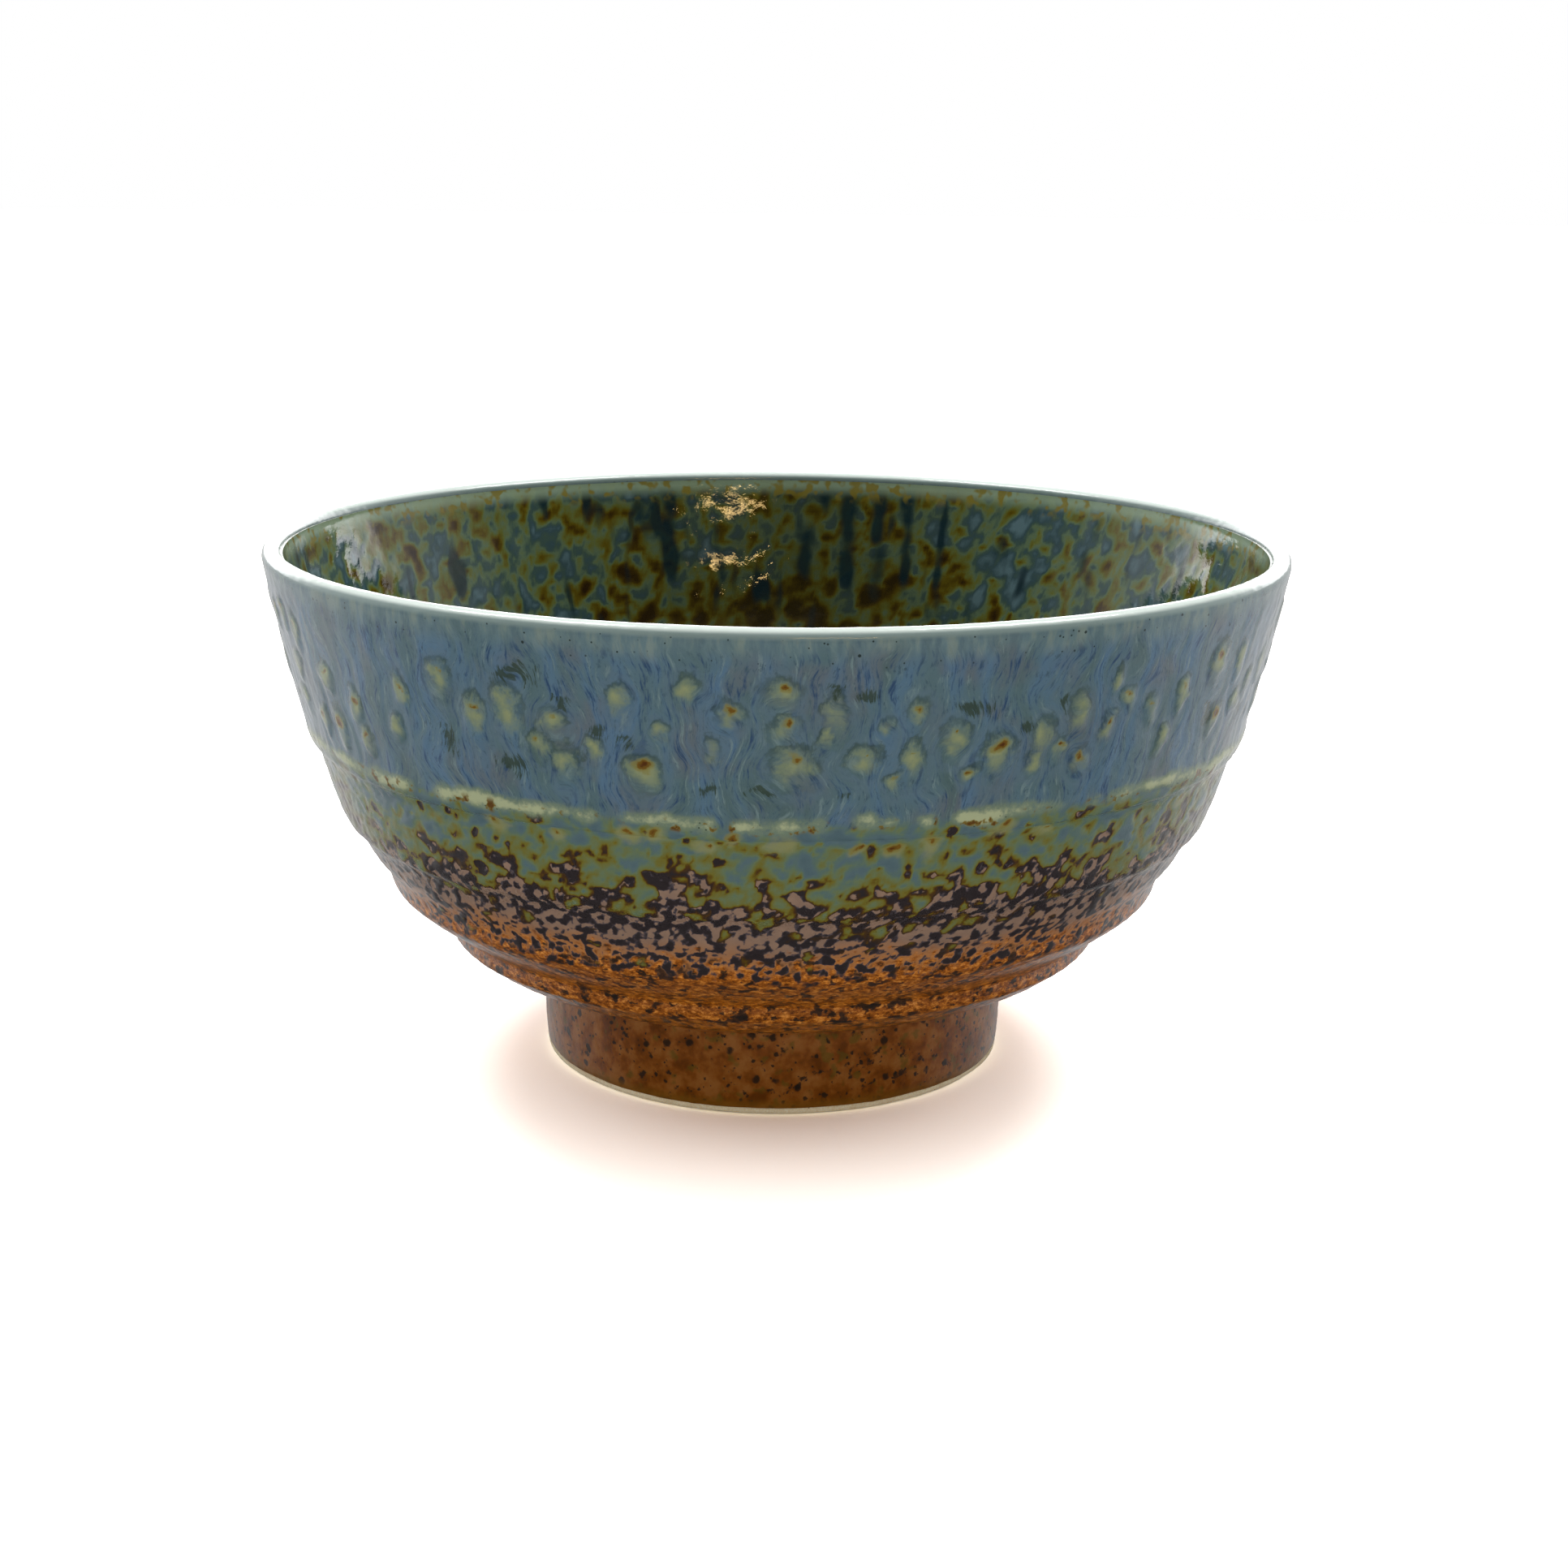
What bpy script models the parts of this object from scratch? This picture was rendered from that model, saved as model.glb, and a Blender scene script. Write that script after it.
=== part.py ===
"""Matcha bowl, modelled in the pieces that it is made from.

A thrown clay bowl stands on a foot ring that is luted to its underside. Five coats of glaze lie on
the clay: one over the lip and the upper wall, one on the lower wall, one round the foot, one on the
whole inside and one in the well under the bowl. Only the edge that the bowl stands on is bare clay.
The origin is the centre of that edge on the table, and +Z is the bowl's axis.
"""

import math

import bmesh
import bpy

# Driving dimensions, in millimetres.
RIM_RADIUS = 62.5
HEIGHT = 65.0
LIP_RADIUS = 1.2
FOOT_RADIUS = 28.9
FOOT_WALL = 4.7
FLOOR_HEIGHT = 16.4
WELL_DEPTH = 8.6
BARE_EDGE = 0.7
EDGE_ROUNDING = 0.5
GLAZE = 0.5
GAP = 0.3

# Facets around the axis, and the longest straight run that an arc is drawn with.
SEGMENTS = 40
ARC_STEP = 3.2
FLAT_BELLY = 0.05
SHARP_ANGLE = math.radians(38)
METRES_PER_MM = 0.001
MERGE_DISTANCE = 1e-6

# The turned outside, from the foot's top to the lip: (radius, height, belly) of the end of each
# stretch. A stretch is a shallow arc, which stands out from its chord by the belly, and a negative
# belly is a hollow.
FOOT_TOP = (FOOT_RADIUS, 10.4, 0.25)
LOWER_WALL = (
    (31.2, 12.2, -0.5),  # fillet between the foot and the underside
    (40.2, 15.9, 1.2),  # underside
    (40.6, 18.1, -0.2),  # finger groove
    (47.9, 23.0, 0.4),  # lowest ring
    (49.2, 26.0, -0.1),
    (51.9, 30.1, 0.2),  # middle ring
    (53.7, 32.3, -0.1),
    (56.7, 41.7, 0.2),  # upper ring
)
UPPER_WALL = (
    (57.9, 43.4, 0.2),  # the step's overhang
    (RIM_RADIUS - 0.15, HEIGHT - 2.0, 0.2),  # wall, up to just under the lip
)

# The lip's half-round, as angles above the horizontal, from the outside over the top to the inside.
LIP_ANGLES = (0, 35, 65, 90, 120, 155)
LIP_INNER_ANGLE = 190

# The inside, from the lip to the floor's centre: (radius, height) of points on a smooth curve.
INSIDE_POINTS = (
    (57.6, 55.0),
    (54.4, 45.0),
    (49.9, 35.0),
    (43.6, 26.8),
    (33.5, 20.4),
    (19.0, 17.1),
    (0.0, FLOOR_HEIGHT),
)

# The well under the bowl, from its centre to the standing edge.
WELL_RADIUS = FOOT_RADIUS - FOOT_WALL
WELL_DRAFT = 0.5
WELL_CORNER = 1.0

CLAY_DEPTH = GLAZE + GAP
UNDERSIDE_HEIGHT = WELL_DEPTH + CLAY_DEPTH
FOOT_RING_HEIGHT = UNDERSIDE_HEIGHT - GAP
GLAZE_START = BARE_EDGE + GAP

# Linear colours, with roughness.
CLAY = ((0.62, 0.46, 0.29), 0.85)
BLUE_GLAZE = ((0.12, 0.18, 0.25), 0.25)
IRON_GLAZE = ((0.22, 0.12, 0.06), 0.3)
FOOT_GLAZE = ((0.20, 0.08, 0.03), 0.35)
INSIDE_GLAZE = ((0.05, 0.10, 0.12), 0.2)
WELL_GLAZE = ((0.24, 0.10, 0.03), 0.3)


def arc(start, end, belly):
    """Points of a shallow arc after start, up to and with end."""
    along = (end[0] - start[0], end[1] - start[1])
    chord = math.hypot(*along)
    outward = (along[1] / chord, -along[0] / chord)
    steps = 1 if abs(belly) < FLAT_BELLY else max(2, round(chord / ARC_STEP))
    points = []
    for i in range(1, steps + 1):
        t = i / steps
        rise = 4 * belly * t * (1 - t)
        points.append(
            (
                start[0] + along[0] * t + outward[0] * rise,
                start[1] + along[1] * t + outward[1] * rise,
            )
        )
    return points


def arcs(start, stretches):
    """A line of shallow arcs, from start through the end of each stretch."""
    line = [start]
    for radius, height, belly in stretches:
        line += arc(line[-1], (radius, height), belly)
    return line


def smooth_curve(points, steps=2):
    """A Catmull-Rom curve through the points, with steps spans between each two."""
    ends = [points[0], *points, points[-1]]
    line = [points[0]]
    for a, b, c, d in zip(ends, ends[1:], ends[2:], ends[3:]):
        for i in range(1, steps + 1):
            t = i / steps
            line.append(
                tuple(
                    b[k]
                    + 0.5 * t * (c[k] - a[k])
                    + t**2 * (a[k] - 2.5 * b[k] + 2 * c[k] - 0.5 * d[k])
                    + t**3 * (1.5 * (b[k] - c[k]) + 0.5 * (d[k] - a[k]))
                    for k in (0, 1)
                )
            )
    return line


def on_lip(degrees):
    """The point of the lip's half-round at an angle above the horizontal."""
    angle = math.radians(degrees)
    return (
        RIM_RADIUS - LIP_RADIUS + LIP_RADIUS * math.cos(angle),
        HEIGHT - LIP_RADIUS + LIP_RADIUS * math.sin(angle),
    )


def left_normal(a, b):
    """Unit normal on the left of the way from a to b."""
    length = math.hypot(b[0] - a[0], b[1] - a[1])
    return (-(b[1] - a[1]) / length, (b[0] - a[0]) / length)


def offset(line, distance):
    """The line moved to its left, which is into the clay. A point on the axis stays on it."""
    moved = []
    for i, (radius, height) in enumerate(line):
        before = left_normal(line[i - 1], line[i]) if i else None
        after = left_normal(line[i], line[i + 1]) if i + 1 < len(line) else before
        before = before or after
        spread = distance / (1 + before[0] * after[0] + before[1] * after[1])
        new_radius = radius + spread * (before[0] + after[0]) if radius else 0.0
        moved.append((new_radius, height + spread * (before[1] + after[1])))
    return moved


def trim_start(line, length):
    """The line without its first stretch of the given length."""
    (r0, h0), (r1, h1) = line[0], line[1]
    share = length / math.hypot(r1 - r0, h1 - h0)
    return [(r0 + (r1 - r0) * share, h0 + (h1 - h0) * share), *line[1:]]


def coat(line):
    """Outline of a glaze coat: its free surface, and its back just clear of the clay."""
    return line + offset(line, GLAZE)[::-1]


def material(name, colour, roughness):
    made = bpy.data.materials.new(name)
    made.use_nodes = True
    shader = made.node_tree.nodes["Principled BSDF"]
    shader.inputs["Base Color"].default_value = (*colour, 1.0)
    shader.inputs["Roughness"].default_value = roughness
    shader.inputs["Metallic"].default_value = 0.0
    return made


def turn(name, outline, finish):
    """One solid of revolution. An outline that starts and ends on the axis is closed by it."""
    on_axis = outline[0][0] == 0.0 and outline[-1][0] == 0.0
    shape = bmesh.new()
    verts = [
        shape.verts.new((radius * METRES_PER_MM, 0.0, height * METRES_PER_MM))
        for radius, height in outline
    ]
    edges = [shape.edges.new(pair) for pair in zip(verts, verts[1:])]
    if not on_axis:
        edges.append(shape.edges.new((verts[-1], verts[0])))
    bmesh.ops.spin(
        shape,
        geom=verts + edges,
        cent=(0, 0, 0),
        axis=(0, 0, 1),
        angle=2 * math.pi,
        steps=SEGMENTS,
        use_merge=True,
    )
    bmesh.ops.remove_doubles(shape, verts=shape.verts, dist=MERGE_DISTANCE)
    bmesh.ops.recalc_face_normals(shape, faces=shape.faces)
    mesh = bpy.data.meshes.new(name)
    shape.to_mesh(mesh)
    shape.free()
    mesh.shade_smooth()
    mesh.set_sharp_from_angle(angle=SHARP_ANGLE)
    mesh.materials.append(material(name, *finish))
    made = bpy.data.objects.new(name, mesh)
    bpy.context.collection.objects.link(made)
    return made


def foot_line():
    """Outside of the foot, from the glaze's lower edge to the foot's top."""
    return arcs((FOOT_RADIUS, GLAZE_START), [FOOT_TOP])


def lower_wall_line():
    return arcs(FOOT_TOP[:2], LOWER_WALL)


def upper_wall_line():
    """From the step over the lip to the lip's inner side."""
    wall = arcs(LOWER_WALL[-1][:2], UPPER_WALL)
    return wall + [on_lip(degrees) for degrees in LIP_ANGLES]


def inside_line():
    return smooth_curve([on_lip(LIP_INNER_ANGLE), *INSIDE_POINTS])


def well_line():
    """From the well's centre to the glaze's lower edge on the inner side of the foot."""
    side = WELL_RADIUS - WELL_DRAFT
    return [
        (0.0, WELL_DEPTH),
        (side - WELL_CORNER, WELL_DEPTH),
        (side, WELL_DEPTH - WELL_CORNER),
        (WELL_RADIUS, GLAZE_START),
    ]


def make_clay_bowl():
    """The thrown body: it lies under every coat, and its flat underside meets the foot ring."""
    skin = lower_wall_line() + upper_wall_line()[1:] + inside_line()
    outline = offset(skin, CLAY_DEPTH)
    foot_side = outline[0][0]
    return turn(
        "clay_bowl",
        [(0.0, UNDERSIDE_HEIGHT), (foot_side, UNDERSIDE_HEIGHT), *outline],
        CLAY,
    )


def make_foot_ring():
    """The luted ring. Under each glaze edge it has a shoulder, and below that it is bare. Each
    rounded corner of the standing edge is drawn with one point in its middle."""
    outer = FOOT_RADIUS - CLAY_DEPTH
    inner = WELL_RADIUS + CLAY_DEPTH
    inner_top = inner - WELL_DRAFT
    edge_middle = 0.3 * EDGE_ROUNDING
    outline = [
        (WELL_RADIUS + EDGE_ROUNDING, 0.0),
        (FOOT_RADIUS - EDGE_ROUNDING, 0.0),
        (FOOT_RADIUS - edge_middle, edge_middle),
        (FOOT_RADIUS, BARE_EDGE),
        (outer, BARE_EDGE),
        (outer, FOOT_RING_HEIGHT),
        (inner_top, FOOT_RING_HEIGHT),
        (inner, BARE_EDGE),
        (WELL_RADIUS, BARE_EDGE),
        (WELL_RADIUS + edge_middle, edge_middle),
    ]
    return turn("foot_ring", outline, CLAY)


def make_glaze_coats():
    turn("foot_glaze", coat(foot_line()), FOOT_GLAZE)
    turn("iron_glaze", coat(trim_start(lower_wall_line(), GAP)), IRON_GLAZE)
    turn("blue_glaze", coat(trim_start(upper_wall_line(), GAP)), BLUE_GLAZE)
    turn("inside_glaze", coat(inside_line()), INSIDE_GLAZE)
    turn("foot_well_glaze", coat(well_line()), WELL_GLAZE)


def main():
    for old in list(bpy.data.objects):
        bpy.data.objects.remove(old, do_unlink=True)
    make_clay_bowl()
    make_foot_ring()
    make_glaze_coats()


main()
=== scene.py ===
"""The looks of the matcha bowl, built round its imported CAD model.

Each glaze coat and the foot ring is rebuilt as a fine closed mesh on the outline that its CAD node
has. The glaze's runs, beads and pits are real relief, and the same fields that shape them are kept as
mesh attributes, which the materials read, so that colour and relief lie in the same places.
Lengths are in millimetres until a mesh is made. Angles are in degrees from the bowl's front, -Y, and
positive towards +X.
"""

import itertools
import math

import bpy
import numpy as np
from mathutils import Matrix, Vector


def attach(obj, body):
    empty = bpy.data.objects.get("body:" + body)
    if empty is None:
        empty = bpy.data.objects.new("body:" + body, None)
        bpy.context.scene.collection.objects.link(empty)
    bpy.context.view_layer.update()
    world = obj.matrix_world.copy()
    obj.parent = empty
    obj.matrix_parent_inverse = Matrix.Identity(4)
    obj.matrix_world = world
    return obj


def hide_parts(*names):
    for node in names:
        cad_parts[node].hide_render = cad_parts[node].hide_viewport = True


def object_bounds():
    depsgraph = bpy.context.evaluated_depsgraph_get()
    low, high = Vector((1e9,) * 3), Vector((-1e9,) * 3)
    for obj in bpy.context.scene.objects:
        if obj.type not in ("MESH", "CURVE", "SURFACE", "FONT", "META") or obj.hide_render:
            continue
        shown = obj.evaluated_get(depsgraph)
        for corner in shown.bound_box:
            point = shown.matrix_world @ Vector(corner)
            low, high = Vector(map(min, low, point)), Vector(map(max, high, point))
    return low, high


MM = 0.001

# Mesh density: facets round the widest rings, halved for each halving of the radius, the depth of a
# coat's hidden back, and the spacing of the back's rings.
COLUMNS = 896
WIDEST_RADIUS = 62.5
BACK_DEPTH = 0.42
BACK_SPACING = 3.0
POLE_RADIUS = 0.6
RING_SPACING = 0.35
SEAM_STEP = 0.35

# Where the zones of the outside wall lie, by height.
LINE_HEIGHT = 43.7
STEP_CORNER = 41.8
GROOVE_HEIGHT = 17.2
LIP_ZONE = 62.4
ISLAND_HEIGHT = 34.3
AMBER_TOP = 24.6
FOOT_JOINT = 11.6
BARE_TOP = 0.7
FOOT_EDGE = 0.45
CLAY_OVERLAP = 0.12

# How far the glaze's relief may sink and rise, and how far inside the CAD model's box it stays.
DEEPEST, HIGHEST = -0.3, 0.75
BOX_MARGIN = 0.01

# Gloss of the outside.
WALL_SPECULAR = 0.4

# The floor, in metres, a hair under the bowl, and the colours that it lights with and shows.
FLOOR_RADIUS = 4
FLOOR_LEVEL = -0.00005
FLOOR_COLOUR = (0.8, 0.78, 0.76, 1)
FLOOR_SHOWN = (2.9, 2.83, 2.74, 1)

# The camera: place in metres, how far it looks down and is rolled, and its focal length.
CAMERA_PLACE = (0.0012, -0.3064, 0.1115)
CAMERA_TILT = 14.33
CAMERA_ROLL = 0.64
FOCAL_LENGTH = 57.34

# Beads in the blue band: angle, height, half-width, half-height, and the size of the ochre core.
BEADS = (
    (-50, 51.5, 1.2, 2.8, 0.5),
    (-49, 47.7, 1.2, 2.0, 0.5),
    (-35, 57.6, 1.7, 3.0, 0.5),
    (-31, 53.6, 1.5, 3.4, 0.5),
    (-27, 54.8, 1.7, 3.6, 0.0),
    (-24, 51.3, 1.5, 2.0, 0.5),
    (-22, 54.0, 1.8, 1.8, 0.3),
    (-21, 49.6, 1.8, 2.6, 0.0),
    (-13, 49.3, 2.0, 2.6, 1.0),
    (-8, 58.6, 1.6, 2.0, 0.0),
    (-15, 57.2, 1.5, 2.2, 0.0),
    (-4, 55.7, 1.8, 1.9, 0.7),
    (1, 58.3, 1.9, 1.9, 0.6),
    (1, 54.6, 1.8, 1.8, 0.7),
    (2, 50.6, 2.8, 2.8, 0.8),
    (6, 55.9, 1.6, 3.0, 0.0),
    (9, 51.2, 1.9, 2.2, 0.2),
    (14, 56.0, 1.4, 2.2, 0.6),
    (14, 50.8, 1.6, 2.8, 0.3),
    (18, 53.0, 1.7, 2.2, 0.2),
    (23, 51.0, 2.1, 3.0, 0.9),
    (28, 52.4, 1.5, 2.8, 0.0),
    (33, 49.2, 1.7, 1.8, 0.8),
    (32, 54.6, 1.5, 2.8, 0.0),
    (38, 55.6, 1.3, 1.6, 0.4),
    (42, 53.8, 1.3, 2.4, 0.4),
    (-41, 55.0, 1.3, 2.4, 0.4),
    (-43, 50.6, 1.2, 2.0, 0.0),
    (-18, 51.4, 1.0, 1.8, 0.0),
    (-11, 53.8, 0.9, 1.5, 0.0),
    (-6, 51.8, 1.1, 2.0, 0.0),
    (5, 53.0, 0.8, 1.4, 0.0),
    (11, 54.4, 0.9, 1.6, 0.0),
    (12, 48.6, 1.1, 1.3, 0.4),
    (20, 49.2, 1.0, 1.3, 0.4),
    (27, 49.6, 1.1, 1.6, 0.0),
    (30, 50.4, 1.0, 1.8, 0.5),
    (36, 52.4, 1.1, 2.2, 0.4),
    (36, 58.0, 1.0, 1.5, 0.0),
    (45, 50.0, 1.2, 2.0, 0.0),
    (47, 54.6, 1.2, 2.2, 0.4),
)

# Dark frayed patches, like tufts that point upwards: angle, height, half-width and half-height.
TUFTS = (
    (-35, 50.4, 1.2, 2.2),
    (-26, 58.8, 3.0, 1.5),
    (-27, 48.7, 2.2, 1.2),
    (-21, 56.4, 1.2, 0.9),
    (-17, 53.4, 0.9, 1.3),
    (-15, 52.2, 1.3, 0.9),
    (-7, 47.4, 1.1, 0.9),
    (-1, 47.2, 2.0, 0.8),
    (6, 58.6, 1.2, 0.7),
    (9, 58.2, 0.8, 0.8),
    (7, 46.8, 0.8, 0.8),
    (20, 56.2, 3.0, 1.2),
    (26, 53.6, 0.9, 1.3),
    (30, 56.0, 0.8, 1.1),
)

# Pale drops under the line, as the beads are given, and the gaps in the line: angle and half-width.
DROPS = (
    (-31, 41.2, 1.7, 1.1, 0.6),
    (-24, 41.0, 1.2, 0.9, 0.5),
    (-15, 41.8, 1.6, 1.3, 0.7),
    (-12, 42.0, 1.3, 1.1, 0.7),
    (-7, 41.0, 1.5, 1.1, 0.6),
    (-4, 42.0, 0.9, 0.8, 0.6),
    (1, 41.3, 1.9, 1.3, 0.0),
    (9, 40.6, 0.9, 0.8, 0.8),
    (13, 40.2, 1.2, 0.9, 0.9),
    (17, 41.2, 1.2, 1.7, 0.8),
    (25, 42.0, 1.6, 1.0, 0.7),
    (31, 41.4, 1.4, 1.0, 0.5),
)
LINE_GAPS = (
    (-41, 1.6),
    (-17, 1.0),
    (-5, 0.7),
    (7, 1.2),
    (14, 0.8),
    (18, 0.9),
    (34, 1.3),
)
HAND_PLACED_ARC = 52

# On the inside: dark runs, as angle and half-width, and the arc where the glaze is darkest.
INSIDE_RUNS = ((170, 1.5), (165.5, 1.2), (161, 1.0), (156, 0.7), (196, 1.4))
DARK_ARC = (178, 26)


class Noise:
    """Seeded smooth noise in space, between about -1 and 1."""

    FOLD = 255

    def __init__(self, seed):
        draw = np.random.default_rng(seed)
        self.order = draw.permutation(self.FOLD + 1)
        slopes = draw.normal(size=(self.FOLD + 1, 3))
        self.slopes = slopes / np.linalg.norm(slopes, axis=1, keepdims=True)

    def __call__(self, points, size):
        scaled = np.asarray(points, float) / size
        cell = np.floor(scaled).astype(int)
        inside = scaled - cell
        fade = inside**3 * (inside * (inside * 6 - 15) + 10)
        total = np.zeros(len(scaled))
        for corner in itertools.product((0, 1), repeat=3):
            x, y, z = (cell + corner).T
            index = self.order[x & self.FOLD]
            index = self.order[(index + y) & self.FOLD]
            index = self.order[(index + z) & self.FOLD]
            rise = (self.slopes[index] * (inside - corner)).sum(1)
            total += rise * np.prod(np.where(corner, fade, 1 - fade), axis=1)
        return 1.6 * total

    def layered(self, points, size, layers):
        """Several sizes of noise on each other, each half the size and strength of the last."""
        return sum(self(points + 17.3 * i, size / 2**i) / 2**i for i in range(layers))


def smooth_step(value, low, high):
    t = np.clip((value - low) / (high - low), 0, 1)
    return t * t * (3 - 2 * t)


def wrap(degrees):
    return (degrees + 180) % 360 - 180


# ---------------------------------------------------------------- outlines read from the CAD nodes


def section(node):
    """The node's outline where y is 0 and x is positive: points in order, as (radius, height)."""
    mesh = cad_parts[node].data
    keys = {}
    for vert in mesh.vertices:
        if abs(vert.co.y) < 1e-6 and vert.co.x > -1e-6:
            keys[vert.index] = (round(vert.co.x / MM, 3), round(vert.co.z / MM, 3))
    beside = {}
    for edge in mesh.edges:
        a, b = (keys.get(i) for i in edge.vertices)
        if a and b and a != b:
            beside.setdefault(a, set()).add(b)
            beside.setdefault(b, set()).add(a)
    ends = [key for key, others in beside.items() if len(others) == 1]
    chain = [min(ends or beside)]
    while True:
        following = [key for key in beside[chain[-1]] if key not in chain[-2:-1]]
        step = [key for key in following if key not in chain]
        if not step:
            return np.array(chain), not ends
        chain.append(min(step))


def nearest_on(outline, point):
    """The point of an outline that is nearest to the point."""
    a, b = outline[:-1], outline[1:]
    along = b - a
    t = np.clip(((point - a) * along).sum(1) / (along**2).sum(1), 0, 1)
    found = a + along * t[:, None]
    return found[np.argmin(((found - point) ** 2).sum(1))]


def left_of(line):
    """Unit normals on the line's left at its points."""
    along = np.gradient(line, axis=0)
    normals = np.stack([-along[:, 1], along[:, 0]], axis=1)
    return normals / np.linalg.norm(normals, axis=1, keepdims=True)


def free_side(node, clay):
    """The side of a coat that lies away from the clay, running with the clay on its left.

    It is half of the coat's outline. Next to bare clay its last point is as near as the back is, so
    the side grows towards the farther neighbour, past the short edge between front and back."""
    chain, closed = section(node)
    nearest = np.array([nearest_on(clay, point) for point in chain])
    away = np.linalg.norm(chain - nearest, axis=1)
    free = away > (away.min() + away.max()) / 2
    half = len(chain) // 2
    if closed:
        start = next(i for i in range(len(free)) if free[i] and not free[i - 1])
        chain, nearest = np.roll(chain, -start, axis=0), np.roll(nearest, -start, axis=0)
        for count in range(free.sum(), half):
            before = np.linalg.norm(chain[0] - chain[-1])
            after = np.linalg.norm(chain[count] - chain[count - 1])
            if before > after:
                chain, nearest = np.roll(chain, 1, axis=0), np.roll(nearest, 1, axis=0)
    elif not free[0]:
        chain, nearest = chain[::-1], nearest[::-1]
    line, towards = chain[:half], (nearest - chain)[:half]
    if (left_of(line) * towards).sum() < 0:
        line = line[::-1]
    return line


def rounded(line, steps=10):
    """The line with its corners rounded: a Catmull-Rom curve through its points."""
    a = np.concatenate([line[:1], line, line[-1:]])
    spans = []
    for t in np.arange(steps) / steps:
        spans.append(
            a[1:-2]
            + 0.5 * t * (a[2:-1] - a[:-3])
            + t**2 * (a[:-3] - 2.5 * a[1:-2] + 2 * a[2:-1] - 0.5 * a[3:])
            + t**3 * (1.5 * (a[1:-2] - a[2:-1]) + 0.5 * (a[3:] - a[:-3]))
        )
    curve = np.stack(spans, axis=1).reshape(-1, 2)
    return np.concatenate([curve, line[-1:]])


class Outline:
    """A finished surface's outline, read at distances along it."""

    def __init__(self, line):
        self.line = line
        self.at = np.concatenate([[0], np.cumsum(np.linalg.norm(np.diff(line, axis=0), axis=1))])
        self.length = self.at[-1]

    def point(self, at):
        """Points at the distances, carried straight on past either end."""
        at = np.asarray(at, float)
        found = np.stack([np.interp(at, self.at, self.line[:, k]) for k in (0, 1)], axis=-1)
        for end, inner, past in ((0, 1, at < 0), (-1, -2, at > self.length)):
            way = self.line[end] - self.line[inner]
            way = way / np.linalg.norm(way)
            over = np.abs(at - self.at[end]) * past
            found = found + over[..., None] * way
        return found

    def nearest(self, point):
        return self.at[np.argmin(((self.line - point) ** 2).sum(1))]


# ------------------------------------------------------------------------------ meshes from rings


def columns_at(radius):
    """How many facets a ring of this radius has: the full number, or half, a quarter and so on."""
    halvings = max(0, math.ceil(math.log2(WIDEST_RADIUS / max(radius, POLE_RADIUS)) - 1.001))
    return max(7, COLUMNS >> halvings)


def ring_faces(a, count_a, b, count_b):
    """Faces between the ring that starts at vertex a and the next one, at b."""
    if count_a == count_b:
        j = np.arange(count_a)
        k = (j + 1) % count_a
        return np.stack([a + j, a + k, b + k, b + j], axis=1).tolist()
    faces = []
    if count_a > count_b:
        for j in range(count_b):
            f0, f1, f2 = a + 2 * j, a + 2 * j + 1, a + (2 * j + 2) % count_a
            c0, c1 = b + j, b + (j + 1) % count_b
            faces += [(f0, f1, c0), (f1, c1, c0), (f1, f2, c1)]
        return faces
    for j in range(count_a):
        f0, f1, f2 = b + 2 * j, b + 2 * j + 1, b + (2 * j + 2) % count_b
        c0, c1 = a + j, a + (j + 1) % count_a
        faces += [(c0, f1, f0), (c0, c1, f1), (c1, f2, f1)]
    return faces


class Rings:
    """Rings of vertices round the axis: their radius, height, angle and place along the outline."""

    def __init__(self, outline, at, depth=0.0):
        line = outline.point(at)
        inward = left_of(outline.point(np.stack([at - 0.3, at, at + 0.3], axis=1)).reshape(-1, 2))
        inward = inward.reshape(-1, 3, 2)[:, 1]
        line = line + inward * depth
        self.counts = [columns_at(radius) for radius in line[:, 0]]
        repeat = np.array(self.counts)
        self.turn = np.concatenate([np.arange(n) / n * 2 * math.pi for n in self.counts])
        self.radius = np.repeat(line[:, 0], repeat)
        self.height = np.repeat(line[:, 1], repeat)
        self.outward = -np.repeat(inward, repeat, axis=0)
        self.at = np.repeat(at, repeat)
        self.around = np.stack([np.cos(self.turn), np.sin(self.turn)], axis=1)
        self.angle = wrap(np.degrees(self.turn) + 90)

    def spot(self, radius, height):
        return np.column_stack([self.around * radius[:, None], height])

    @property
    def points(self):
        return self.spot(self.radius, self.height)

    def moved(self, rise):
        """The points, moved outwards by rise."""
        return self.spot(
            np.maximum(self.radius + self.outward[:, 0] * rise, 0),
            self.height + self.outward[:, 1] * rise,
        )


def normals_of(points, counts):
    """Normals of a stack of rings, from the way that the surface runs between neighbours."""
    starts = np.concatenate([[0], np.cumsum(counts)])
    normals = np.zeros_like(points)
    for i in range(1, len(counts) - 1):
        n = counts[i]
        here = points[starts[i] : starts[i + 1]]
        across = np.roll(here, -1, axis=0) - np.roll(here, 1, axis=0)
        share = np.arange(n) / n
        below, above = (
            points[starts[k] : starts[k + 1]][np.round(share * counts[k]).astype(int) % counts[k]]
            for k in (i - 1, i + 1)
        )
        normals[starts[i] : starts[i + 1]] = np.cross(across, above - below)
    lengths = np.linalg.norm(normals, axis=1, keepdims=True)
    return normals / np.maximum(lengths, 1e-12)


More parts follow.
